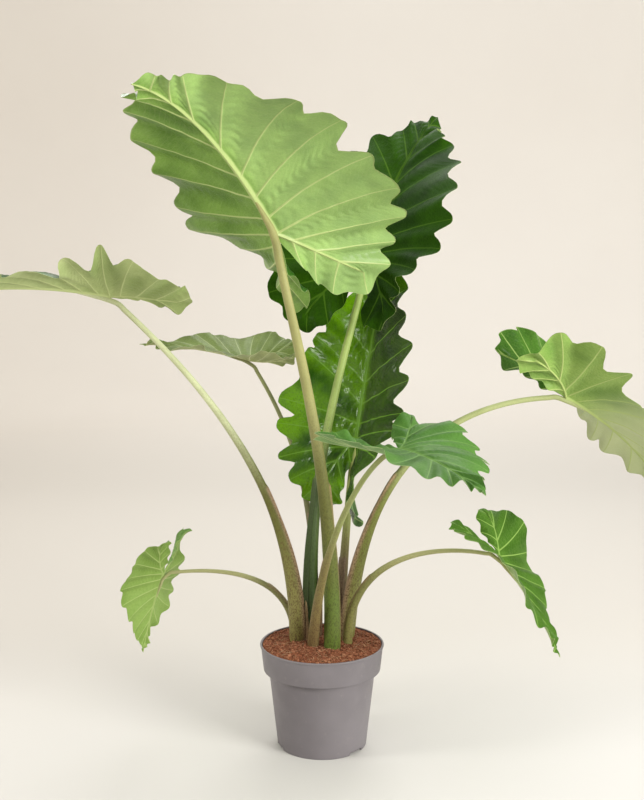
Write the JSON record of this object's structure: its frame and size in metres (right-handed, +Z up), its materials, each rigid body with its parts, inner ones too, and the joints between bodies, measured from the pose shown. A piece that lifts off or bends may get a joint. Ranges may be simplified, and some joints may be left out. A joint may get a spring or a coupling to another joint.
{
  "type": "potted alocasia",
  "caption": "Tall potted alocasia: arrow-shaped, wavy-edged leaves on long arching stalks that rise from one clump in a round grey plastic nursery pot filled with coir soil.",
  "frame": {"origin": "centre of the pot's foot, on the surface that the pot stands on", "axes": "+Z up along the pot's axis; seen along +Y, +X points to the right, as in the picture"},
  "size_m": [1.3649, 0.9945, 1.256],
  "materials": {
    "pot": "matt warm grey moulded plastic",
    "soil": "loose reddish-brown coir, fully rough",
    "rootstock": "rough corky skin",
    "stalk": "satin green skin, speckled brown below",
    "leaf": "satin to glossy green, paler below",
    "leaf_dark": "satin dark green above, paler below"
  },
  "bodies": {
    "root": {"pot": "pot", "soil": "soil", "rootstock": "rootstock", "stalk_high_left": "stalk", "leaf_high_left": "leaf", "stalk_high_right": "stalk", "leaf_high_right": "leaf_dark", "stalk_centre": "stalk", "leaf_centre": "leaf", "stalk_front_right": "stalk", "leaf_front_right": "leaf", "stalk_far_left": "stalk", "leaf_far_left": "leaf", "stalk_back_left": "stalk", "leaf_back_left": "leaf", "stalk_far_right": "stalk", "leaf_far_right": "leaf", "stalk_low_right": "stalk", "leaf_low_right": "leaf", "stalk_low_left": "stalk", "leaf_low_left": "leaf"}
  },
  "joints": []
}
